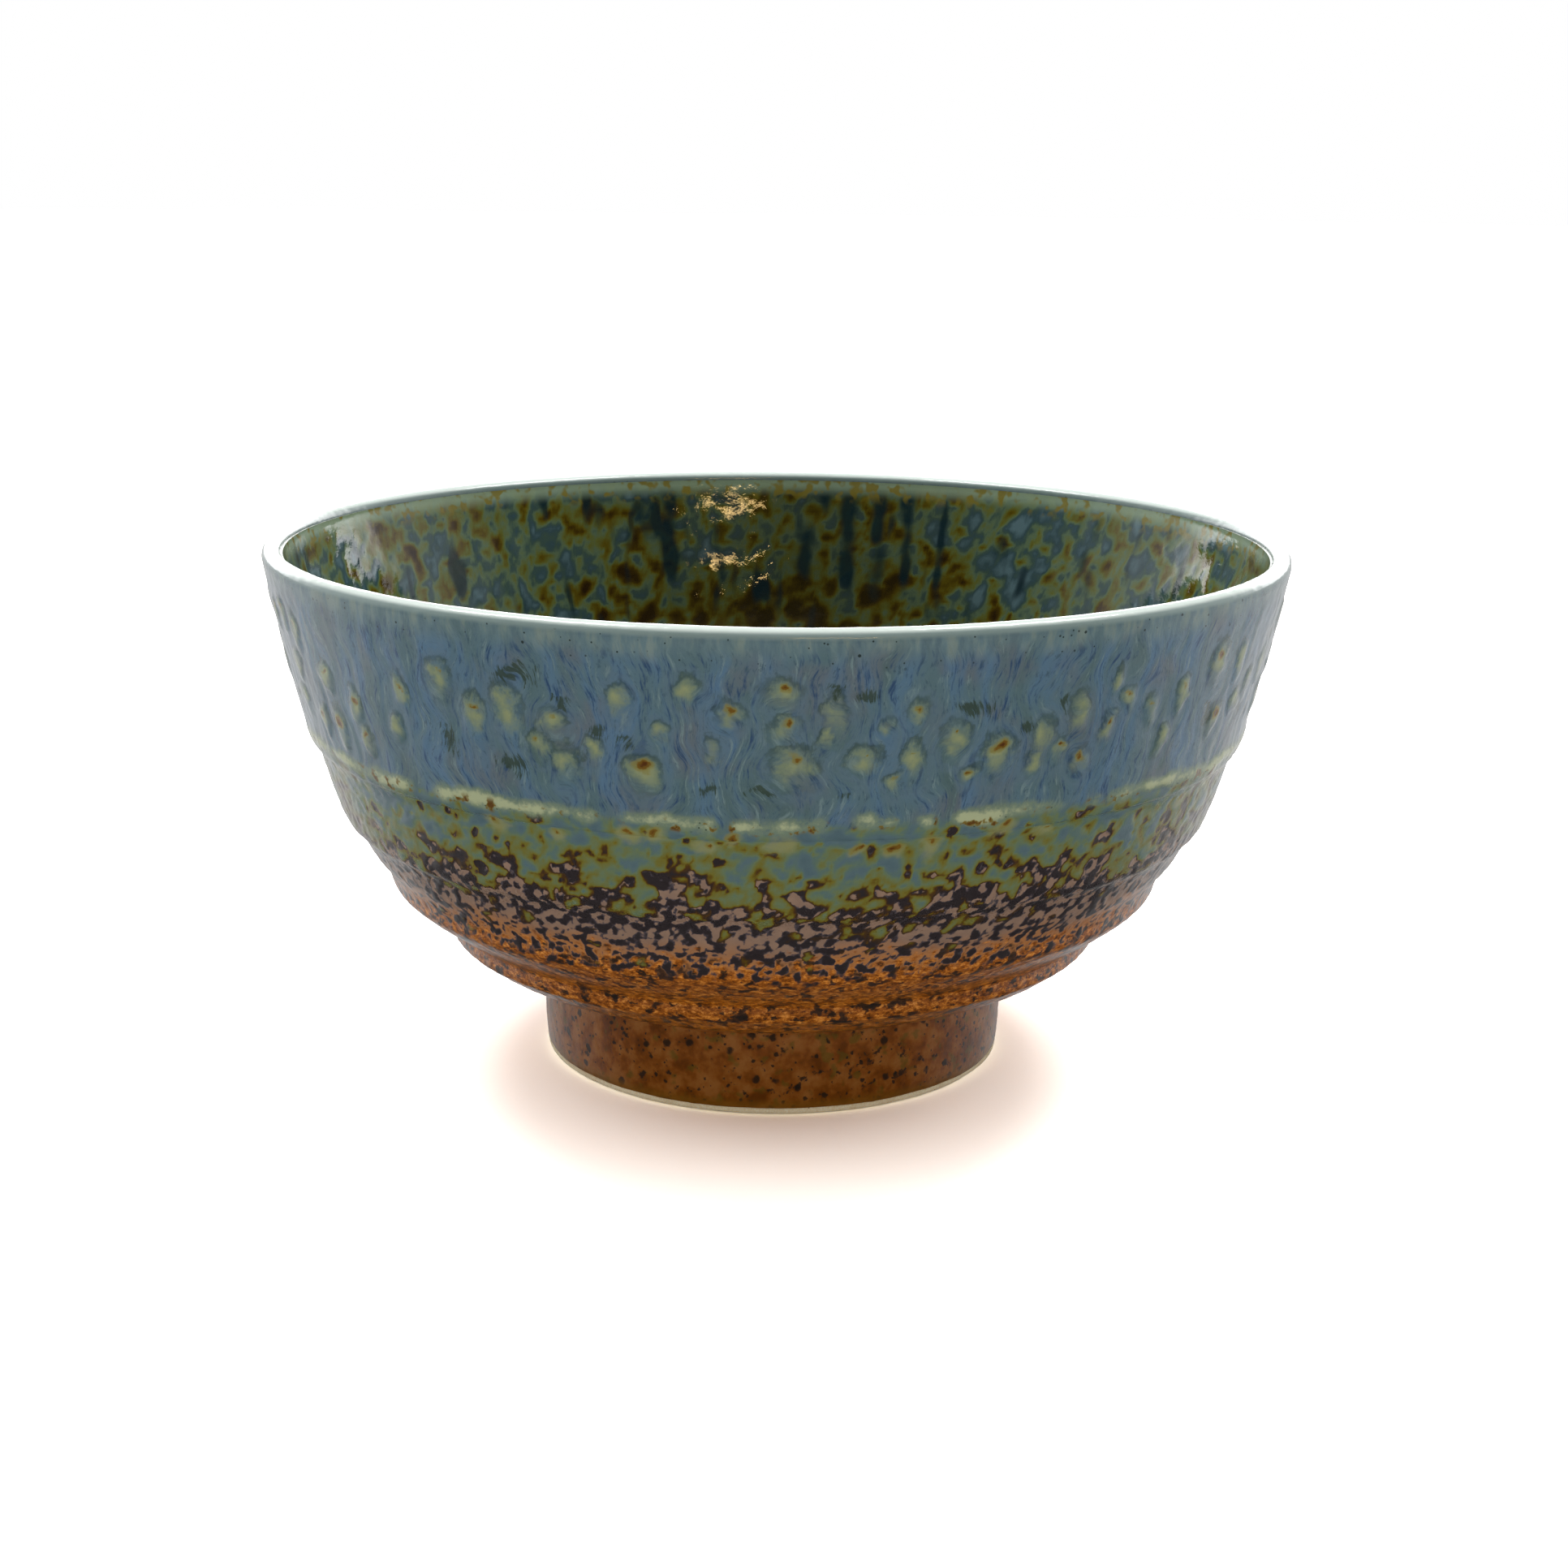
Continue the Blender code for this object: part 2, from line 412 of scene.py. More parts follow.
class RingMesh:
    """A closed mesh made of rings: its points, normals and faces, as they are gathered."""

    def __init__(self):
        self.points, self.normals, self.faces = [], [], []

    def add(self, points, normals, counts):
        """Adds a run of rings, and returns each one's first vertex and count."""
        starts = len(self.points) + np.concatenate([[0], np.cumsum(counts)[:-1]]).astype(int)
        self.points += np.asarray(points).tolist()
        self.normals += np.asarray(normals).tolist()
        return list(zip(starts.tolist(), counts))

    def join(self, rings):
        for a, b in zip(rings, rings[1:]):
            self.faces += ring_faces(*a, *b)

    def close(self, ring, ends_run):
        """Closes a ring to a point on the axis, at the end or the start of its run."""
        start, count = ring
        height = np.mean([point[2] for point in self.points[start : start + count]])
        pole = self.add([[0, 0, height]], [[0, 0, math.copysign(1, self.normals[start][2])]], [1])[0][0]
        for j in range(count):
            a, b = start + j, start + (j + 1) % count
            self.faces.append((a, b, pole) if ends_run else (b, a, pole))

    def finish(self, name, fields):
        """The object. The fields are given for the mesh's first points, and are 0 on the others."""
        made = bpy.data.meshes.new(name)
        made.from_pydata([[value * MM for value in point] for point in self.points], [], self.faces)
        for field, values in fields.items():
            vector = values.ndim == 2
            full = np.zeros((len(self.points), 3) if vector else len(self.points), np.float32)
            full[: len(values)] = values
            held = made.attributes.new(field, "FLOAT_VECTOR" if vector else "FLOAT", "POINT")
            held.data.foreach_set("vector" if vector else "value", full.ravel())
        made.shade_smooth()
        if self.normals:
            made.normals_split_custom_set_from_vertices(self.normals)
        piece = bpy.data.objects.new(name, made)
        bpy.context.collection.objects.link(piece)
        return piece


def end_normals(outline, at, make_fields):
    """Normals of the ring at the end of a coat."""
    rings = Rings(outline, at + np.array([-SEAM_STEP, 0, SEAM_STEP]))
    first, second = np.cumsum(rings.counts)[:2]
    return normals_of(rings.moved(make_fields(rings)["relief"]), rings.counts)[first:second]


def coat_piece(name, outline, start, end, spacing, make_fields):
    """A closed coat on the outline from start to end: a fine free surface and a plain back.

    The normals at its ends come from rings at a fixed distance on both sides, so that they match the
    next coat's. Where the outline is on the axis, the front and the back are closed to a point."""
    if outline.point(start)[0] < POLE_RADIUS:
        start += POLE_RADIUS
    if outline.point(end)[0] < POLE_RADIUS:
        end -= POLE_RADIUS
    steps = round((end - start) / spacing)
    front = Rings(outline, start + (end - start) * np.arange(steps + 1) / steps)
    fields = make_fields(front)
    points = front.moved(fields.pop("relief"))
    normals = normals_of(points, front.counts)
    normals[: front.counts[0]] = end_normals(outline, start, make_fields)
    normals[-front.counts[-1] :] = end_normals(outline, end, make_fields)

    back_steps = round((end - start) / BACK_SPACING)
    back = Rings(outline, end - (end - start) * np.arange(back_steps + 1) / back_steps, BACK_DEPTH)
    back_normals = -np.column_stack([back.around * back.outward[:, :1], back.outward[:, 1]])

    mesh = RingMesh()
    front_rings = mesh.add(points, normals, front.counts)
    back_rings = mesh.add(back.points, back_normals, back.counts)
    mesh.join(front_rings)
    mesh.join(back_rings)
    for at, run, following in ((end, front_rings, back_rings), (start, back_rings, front_rings)):
        if outline.point(at)[0] < 2 * POLE_RADIUS:
            mesh.close(run[-1], ends_run=True)
            mesh.close(following[0], ends_run=False)
        else:
            mesh.join([run[-1], following[0]])
    return mesh.finish(name, fields)


def foot_ring_piece(name, outline):
    """The foot ring, whose bare edge was left slightly uneven by the sponge."""
    rings = Rings(outline, np.arange(0, outline.length - RING_SPACING / 2, RING_SPACING))
    bare = 1 - smooth_step(rings.height, BARE_TOP, BARE_TOP + 0.4)
    worn = np.minimum(0.05 * NOISE[12](rings.points, 1.4) + 0.08 * NOISE[4](rings.points, 6.0), 0)
    mesh = RingMesh()
    made = mesh.add(rings.moved(bare * worn), [], rings.counts)
    mesh.join(made + made[:1])
    return mesh.finish(name, {})


# ------------------------------------------------------------------ relief and fields of the glaze


def scattered_marks(seed):
    """Beads, tufts and drops for the rest of the wall, scattered as densely as at the front."""
    draw = np.random.default_rng(seed)
    beads, tufts, drops = [], [], []
    for angle in np.arange(HAND_PLACED_ARC + 2, 360 - HAND_PLACED_ARC, 4.8):
        for height in (49.0, 53.3, 57.6):
            place = (angle + draw.uniform(-2.2, 2.2), height + draw.uniform(-2.0, 2.0))
            size = (draw.uniform(1.2, 2.1), draw.uniform(1.7, 3.2))
            core = draw.choice([0.0, 0.3, 0.5, 0.8])
            kind = draw.random()
            if kind < 0.62:
                beads.append((*place, *size, core))
            elif kind < 0.8:
                tufts.append((*place, size[0], 0.5 * size[1]))
        if draw.random() < 0.6:
            place = (angle + draw.uniform(-2, 2), draw.uniform(40.3, 42.2))
            size = (draw.uniform(0.9, 1.8), draw.uniform(0.8, 1.4))
            drops.append((*place, *size, draw.choice([0.0, 0.7])))
    return beads, tufts, drops


def place_marks(surface, marks, sideways, upwards):
    """How far inside its nearest mark each point is (1 in the middle, 0 at the edge), how far down
    in that mark, and the same as the first for the marks' cores."""
    inside = np.full(len(surface.radius), -1.0)
    low = np.zeros(len(surface.radius))
    core = np.full(len(surface.radius), -2.0)
    for angle, height, half_width, half_height, *core_size in marks:
        dx = np.radians(wrap(surface.angle - angle)) * surface.radius + sideways
        dz = surface.height - height + upwards
        reach = np.where(dz > 0, 0.8, 1.2) * half_height
        found = 1 - np.hypot(dx / half_width, dz / reach)
        low = np.where(found > inside, np.clip(-dz / half_height, -1, 1), low)
        inside = np.maximum(inside, found)
        if core_size and core_size[0]:
            size = 0.65 * core_size[0]
            offset = np.hypot(dx / size, (dz - 0.25 * half_height) / (0.8 * size))
            core = np.maximum(core, 1 - offset)
    return inside, low, core


def flow_round(surface, beads):
    """Places from which streaks are drawn: they run down the wall and part round the beads."""
    parting = np.zeros(len(surface.height))
    for angle, height, half_width, half_height, _ in beads:
        dx = np.radians(wrap(surface.angle - angle)) * surface.radius
        dz = surface.height - height
        near = np.exp(-((dx / (1.6 * half_width)) ** 2) - (dz / (1.6 * half_height)) ** 2)
        parting -= 0.8 * dx * near
    wander = 1.6 * NOISE[2].layered(surface.points, 6.0, 2)
    bent = np.radians(surface.angle) + (parting + wander) / surface.radius
    return np.column_stack([np.sin(bent) * 60, -np.cos(bent) * 60, 0.2 * surface.height])


def pale_line(surface):
    """The line where the glaze breaks over the step's edge: 1 on it, 0 away from it."""
    level = surface.points * (1, 1, 0.1)
    strength = 0.75 + 0.6 * NOISE[3].layered(level, 6.0, 3)
    for angle, half_width in LINE_GAPS:
        along = np.radians(wrap(surface.angle - angle)) * surface.radius
        strength *= smooth_step(np.abs(along), 0.3 * half_width, 2.2 * half_width)
    wave = 0.5 * NOISE[4](level, 13.0) + 0.3 * NOISE[5].layered(level, 3.2, 2)
    width = 0.85 + 0.45 * NOISE[7](level, 3.0)
    return strength * np.exp(-(((surface.height - LINE_HEIGHT - wave) / width) ** 2))


def keep_inside(surface, relief):
    """The relief, kept inside the CAD model's radius and height."""
    rooms = (
        (BOX_RADIUS - surface.radius, surface.outward[:, 0]),
        (BOX_TOP - surface.height, surface.outward[:, 1]),
    )
    for room, way in rooms:
        limit = np.where(way > 0.05, room / np.maximum(way, 0.05), np.inf)
        relief = np.minimum(relief, np.maximum(limit, 0) - BOX_MARGIN)
    return np.clip(relief, DEEPEST, HIGHEST)


def wall_fields(surface):
    """Relief and fields of the outside, from the foot to the lip."""
    points, height = surface.points, surface.height
    scattered_beads, scattered_tufts, scattered_drops = scattered_marks(5)
    beads = [*BEADS, *scattered_beads]
    tufts = [*TUFTS, *scattered_tufts]
    drops = [*DROPS, *scattered_drops]
    sideways = 0.9 * NOISE[0].layered(points, 2.6, 3)
    upwards = 1.1 * NOISE[1].layered(points, 3.1, 3)
    bead, low, core = place_marks(surface, beads + drops, 0.8 * sideways, 0.8 * upwards)
    tuft, _, _ = place_marks(surface, tufts, sideways, upwards)
    flow = flow_round(surface, beads)
    line = pale_line(surface)

    # How thickly the upper glaze lies on the lower wall: below 0 it has gone, in holes and islands.
    swirl = 0.7 * np.stack([NOISE[k](points, 2.6) for k in (13, 14, 15)], axis=1)
    above = height - ISLAND_HEIGHT
    thick = (
        0.42 * np.tanh(above / 6.2)
        + 0.02 * above
        + 0.75 * NOISE[6].layered((points + swirl) * (1, 1, 1.2), 2.5, 4)
        + 0.36 * NOISE[9].layered(points, 12.0, 2)
        - 0.7 * smooth_step(NOISE[22].layered(points + 0.5 * swirl, 1.9, 2), 0.35, 1.0)
    )
    marbling = NOISE[8].layered((points + 0.3 * swirl) * (1, 1, 1.2), 1.15, 3)

    band = smooth_step(height, LINE_HEIGHT - 0.5, LINE_HEIGHT + 1.5) * (1 - smooth_step(height, 61, 63))
    lower = (1 - smooth_step(height, LINE_HEIGHT - 3, LINE_HEIGHT)) * smooth_step(height, 10, 14)
    throwing = NOISE[11](points * (1, 1, 2.0), 16.0) * smooth_step(height, 10, 14)
    edge = smooth_step(height - 0.25 * NOISE[5](points, 4.0), FOOT_EDGE, FOOT_EDGE + 0.7)
    relief = (
        -0.28 * (1 - edge)
        + 0.10 * throwing
        + band * 0.07 * NOISE[10].layered(flow, 2.2, 2)
        + band * (0.17 * smooth_step(bead, -0.1, 0.5) - 0.06 * smooth_step(tuft, 0, 0.6))
        - band * 0.06 * smooth_step(core, 0, 0.6)
        + 0.2 * np.clip(line, 0, 1)
        + 0.3 * np.exp(-(((height - STEP_CORNER) / 0.8) ** 2))
        + 0.75 * np.exp(-(((height - GROOVE_HEIGHT) / 1.5) ** 2))
        + lower * (0.08 * np.clip(thick, -0.6, 0.8) + 0.05 * marbling)
        + 0.03 * NOISE[12](points, 1.2)
    )
    return {
        "relief": keep_inside(surface, relief),
        "flow": flow,
        "bead": bead,
        "bead_low": low,
        "core": core,
        "tuft": tuft,
        "line": line,
        "thick": thick,
        "marbling": marbling,
    }


def inside_fields(surface):
    """Relief and fields of the inside."""
    points, height = surface.points, surface.height
    swirl = 0.9 * np.stack([NOISE[k](points, 3.6) for k in (13, 14, 15)], axis=1)
    bent = (points + swirl) * (1, 1, 1.05)
    dark = np.exp(-((wrap(surface.angle - DARK_ARC[0]) / DARK_ARC[1]) ** 2))
    thick = (
        0.9 * NOISE[16].layered(bent, 2.9, 3)
        + 0.35 * NOISE[17](points, 18.0)
        + 0.012 * (height - 54)
        - 0.3 * dark
    )
    runs = NOISE[18].layered(points * (1, 1, 0.16) + swirl * (0.4, 0.4, 0), 3.4, 2) - 0.25
    for angle, half_width in INSIDE_RUNS:
        along = np.radians(wrap(surface.angle - angle)) * surface.radius + 0.6 * swirl[:, 0]
        run = np.exp(-((along / half_width) ** 2)) * smooth_step(height + 3 * swirl[:, 1], 44, 52)
        runs = np.maximum(runs, run * (0.55 + 0.35 * NOISE[23](points, 3.0)))
    fade = smooth_step(BOX_TOP - height, 0.5, 4.0)
    walls = smooth_step(height, 17.0, 24.0)
    roll = 0.25 * smooth_step(height, 58.0, 64.5)
    relief = roll + fade * (
        0.045 * np.clip(thick, -0.8, 0.8)
        + 0.05 * walls * NOISE[19](points * (1, 1, 0.7), 3.0)
        + 0.08 * NOISE[20](points * (1, 1, 1.6), 18.0)
        + 0.02 * NOISE[12](points, 1.5)
    )
    return {"relief": keep_inside(surface, relief), "thick": thick, "runs": runs, "dark": dark}


def well_fields(surface):
    """Relief of the well under the bowl."""
    swells = 0.05 * NOISE[21].layered(surface.points, 3.0, 4)
    return {"relief": swells + 0.02 * NOISE[12](surface.points, 1.2)}


# --------------------------------------------------------------------------------- materials


def colour(red, green, blue):
    """Linear values of a colour that is given as it shows, from 0 to 255."""
    shown = (value / 255 for value in (red, green, blue))
    linear = (c / 12.92 if c <= 0.04045 else ((c + 0.055) / 1.055) ** 2.4 for c in shown)
    return (*linear, 1.0)


class Nodes:
    """A node tree, with short names for the few kinds that the glazes are made of."""

    def __init__(self, tree):
        self.tree = tree

    def put(self, socket, value):
        if isinstance(value, bpy.types.NodeSocket):
            self.tree.links.new(value, socket)
        else:
            socket.default_value = value

    def node(self, kind, inputs=(), output=0, **settings):
        made = self.tree.nodes.new(kind)
        for key, value in settings.items():
            setattr(made, key, value)
        for key, value in dict(inputs).items():
            self.put(made.inputs[key], value)
        return made.outputs[output]

    def math(self, operation, a, b=0.0):
        return self.node("ShaderNodeMath", {0: a, 1: b}, operation=operation)

    def add(self, a, b):
        return self.math("ADD", a, b)

    def times(self, a, b):
        return self.math("MULTIPLY", a, b)

    def step(self, value, low, high):
        """0 at low, 1 at high and smooth between. Low may be the larger one."""
        ends = {"From Min": min(low, high), "From Max": max(low, high)}
        ends.update({"To Min": float(low > high), "To Max": float(low < high)})
        inputs = {"Value": value, **ends}
        return self.node("ShaderNodeMapRange", inputs, interpolation_type="SMOOTHSTEP")

    def mix(self, a, b, share):
        return self.node("ShaderNodeMix", {0: share, 6: a, 7: b}, output=2, data_type="RGBA")

    def ramp(self, value, stops):
        """A colour for each value, from stops of a value and its colour."""
        low, high = stops[0][0], stops[-1][0]
        share = self.times(self.add(value, -low), 1 / (high - low))
        output = self.node("ShaderNodeValToRGB", {0: share})
        elements = output.node.color_ramp.elements
        while len(elements) < len(stops):
            elements.new(1.0)
        for element, (at, shown) in zip(elements, stops):
            element.position = (at - low) / (high - low)
            element.color = shown
        return output

    def stretched(self, vector, scale):
        return self.node("ShaderNodeVectorMath", {0: vector, 1: scale}, operation="MULTIPLY")

    def point(self):
        """The place on the object, in millimetres."""
        return self.stretched(self.node("ShaderNodeTexCoord", output="Object"), (1 / MM,) * 3)

    def height(self, point):
        return self.node("ShaderNodeSeparateXYZ", {0: point}, output=2)

    def noise(self, vector, size, detail=2.0, roughness=0.5):
        """Noise between 0 and 1, with features of about the size in millimetres."""
        inputs = {"Vector": vector, "Scale": 1 / size, "Detail": detail, "Roughness": roughness}
        return self.node("ShaderNodeTexNoise", inputs)

    def shift(self, value, noise, amount):
        """The value, moved up and down by noise."""
        return self.add(value, self.times(self.add(noise, -0.5), 2 * amount))

    def shift_point(self, point, amount):
        """The place, moved by noise, which makes round dots uneven."""
        inputs = {"Vector": point, "Scale": 1.6, "Detail": 2.0}
        shift = self.node("ShaderNodeTexNoise", inputs, output=1)
        inputs = {0: shift, 1: (0.5, 0.5, 0.5)}
        centred = self.node("ShaderNodeVectorMath", inputs, operation="SUBTRACT")
        moved = self.stretched(centred, (4 * amount,) * 3)
        return self.node("ShaderNodeVectorMath", {0: point, 1: moved}, operation="ADD")

    def dots(self, vector, size, radius, share):
        """Round dots of the radius, in the given share of cells of the size."""
        distance = self.node("ShaderNodeTexVoronoi", {"Vector": vector, "Scale": 1 / size})
        number = self.node("ShaderNodeSeparateColor", {0: distance.node.outputs["Color"]})
        inside = self.step(distance, radius / size, 0.6 * radius / size)
        return self.times(inside, self.math("LESS_THAN", number, share))

    def field(self, name, vector=False):
        output = "Vector" if vector else "Fac"
        return self.node("ShaderNodeAttribute", output=output, attribute_name=name)


def new_material(name):
    made = bpy.data.materials.new(name)
    made.use_nodes = True
    return made, Nodes(made.node_tree)


def finish(made, base, roughness, bump, depth, specular=0.5, coat=0.0):
    """Fills in the material's surface. The bump's depth is in millimetres."""
    nodes = Nodes(made.node_tree)
    surface = made.node_tree.nodes["Principled BSDF"].inputs
    nodes.put(surface["Base Color"], base)
    nodes.put(surface["Roughness"], roughness)
    surface["Specular IOR Level"].default_value = specular
    surface["Coat Weight"].default_value = coat
    surface["Coat Roughness"].default_value = 0.06
    inputs = {"Strength": 1.0, "Distance": depth * MM, "Height": bump}
    nodes.put(surface["Normal"], nodes.node("ShaderNodeBump", inputs))
    return made


def blue_band(s, point, fine):
    """Slate blue with deeper threads, sage beads with ochre cores, and dark tufts."""
    flow = s.field("flow", vector=True)
    threads = s.noise(flow, 0.7, 4, 0.65)
    runs = s.noise(flow, 2.8, 3, 0.6)
    base = s.mix(colour(80, 104, 112), colour(88, 100, 108), s.step(s.noise(point, 7.0, 3), 0.46, 0.66))
    base = s.mix(base, colour(78, 108, 134), s.times(s.step(runs, 0.42, 0.68), 0.9))
    base = s.mix(base, colour(70, 92, 92), s.times(s.step(runs, 0.46, 0.26), 0.8))
    base = s.mix(base, colour(40, 64, 96), s.times(s.step(threads, 0.53, 0.68), 0.9))
    base = s.mix(base, colour(112, 134, 138), s.times(s.step(threads, 0.45, 0.30), 0.6))
    strokes = s.noise(s.stretched(flow, (1, 1, 1.6)), 0.34, 3, 0.7)
    base = s.mix(base, colour(56, 78, 92), s.times(s.step(strokes, 0.54, 0.70), 0.75))

    frayed = s.noise(s.stretched(flow, (1, 1, 2.0)), 0.6, 4, 0.7)
    bead = s.shift(s.shift(s.field("bead"), fine, 0.25), frayed, 0.35)
    low = s.field("bead_low")
    strength = s.step(s.noise(point, 2.2, 3), 0.34, 0.62)
    halo = s.times(s.step(bead, -0.7, -0.25), s.step(bead, 0.1, -0.2))
    base = s.mix(base, colour(84, 106, 120), s.times(halo, 0.5))
    crown = s.times(s.step(low, 0.5, -0.3), 0.55)
    rim = s.times(s.times(s.step(bead, -0.25, 0.02), s.step(bead, 0.34, 0.08)), s.add(crown, 0.12))
    base = s.mix(base, colour(52, 70, 66), s.times(rim, s.add(0.5, s.times(strength, 0.5))))
    fade = s.add(s.times(s.step(low, 1.0, -0.1), 0.8), 0.2)
    fade = s.times(fade, s.add(0.35, s.times(strength, 0.65)))
    base = s.mix(base, colour(102, 118, 98), s.times(s.times(s.step(bead, -0.05, 0.45), fade), 0.9))
    base = s.mix(base, colour(136, 144, 104), s.times(s.times(s.step(bead, 0.2, 0.95), fade), 0.9))

    strands = s.noise(s.stretched(flow, (1, 1, 0.9)), 0.3, 3, 0.7)
    tuft = s.shift(s.field("tuft"), strands, 1.7)
    return s.mix(base, colour(48, 62, 50), s.times(s.step(tuft, 0.15, 0.65), 0.85)), runs, threads


def lower_wall(s, point, height, fine):
    """Teal and sage glaze with brown-edged holes, then islands of it on mauve clay, then amber."""
    patches = s.noise(point, 9.0, 2)
    level = s.shift(height, patches, 3.5)
    thick = s.shift(s.field("thick"), fine, 0.10)
    upper = s.ramp(
        s.shift(thick, s.noise(point, 1.3, 3), 0.10),
        (
            (-0.05, colour(54, 40, 30)),
            (0.0, colour(72, 48, 18)),
            (0.05, colour(92, 74, 14)),
            (0.12, colour(106, 100, 34)),
            (0.24, colour(102, 106, 58)),
            (0.42, colour(96, 112, 82)),
            (0.6, colour(84, 106, 98)),
            (0.8, colour(80, 102, 108)),
            (1.1, colour(74, 96, 104)),
        ),
    )
    marbling = s.shift(s.field("marbling"), s.noise(point, 0.4, 3), 0.28)
    dark = s.add(marbling, s.times(s.add(level, -28.5), 0.03))
    ground = s.mix(colour(146, 120, 100), colour(116, 95, 84), s.noise(point, 1.6, 4))
    ground = s.mix(ground, colour(166, 112, 64), s.step(level, 29.0, 25.0))
    ground = s.mix(ground, colour(70, 64, 70), s.step(dark, -0.06, 0.06))
    ground = s.mix(ground, colour(44, 38, 40), s.step(dark, 0.06, 0.2))
    base = s.mix(upper, ground, s.step(thick, -0.07, -0.14))

    grain = s.noise(s.stretched(point, (1, 1, 2.2)), 1.0, 5, 0.8)
    amber = s.ramp(
        s.shift(grain, fine, 0.12),
        (
            (0.36, colour(74, 36, 0)),
            (0.45, colour(130, 70, 6)),
            (0.53, colour(168, 96, 20)),
            (0.62, colour(214, 140, 58)),
        ),
    )
    flecks = s.noise(s.stretched(point, (1, 1, 1.5)), 1.5, 4, 0.6)
    amber = s.mix(amber, colour(40, 30, 22), s.times(s.step(flecks, 0.545, 0.62), 0.95))
    blobs = s.step(s.noise(point, 2.8, 4, 0.6), 0.57, 0.62)
    amber = s.mix(amber, colour(38, 32, 28), s.times(s.times(blobs, s.step(height, 11.0, 12.5)), 0.9))
    to_amber = s.step(s.add(height, s.times(marbling, 4.0)), AMBER_TOP + 1.0, AMBER_TOP - 1.4)
    return s.mix(base, amber, to_amber)


def brown_coat(s, point, height, fine):
    """The thin brown glaze of the foot, with dark and olive specks."""
    brown = s.ramp(
        s.shift(s.noise(point, 2.6, 3), fine, 0.12),
        (
            (0.34, colour(104, 54, 0)),
            (0.46, colour(128, 70, 6)),
            (0.54, colour(142, 84, 24)),
            (0.66, colour(152, 96, 40)),
        ),
    )
    brown = s.mix(brown, colour(94, 80, 16), s.times(s.step(s.noise(point, 1.8, 2), 0.58, 0.68), 0.6))
    blots = s.step(s.noise(point, 1.5, 4, 0.6), 0.6, 0.67)
    brown = s.mix(brown, colour(36, 28, 22), s.times(blots, 0.9))
    uneven = s.shift_point(point, 0.15)
    for size, radius, share in ((2.6, 0.65, 0.4), (1.3, 0.32, 0.5), (0.8, 0.18, 0.4)):
        specks = s.times(s.dots(uneven, size, radius, share), 0.9)
        brown = s.mix(brown, colour(34, 26, 20), specks)
    return s.mix(brown, colour(132, 88, 14), s.times(s.step(height, 2.4, 1.0), 0.7))


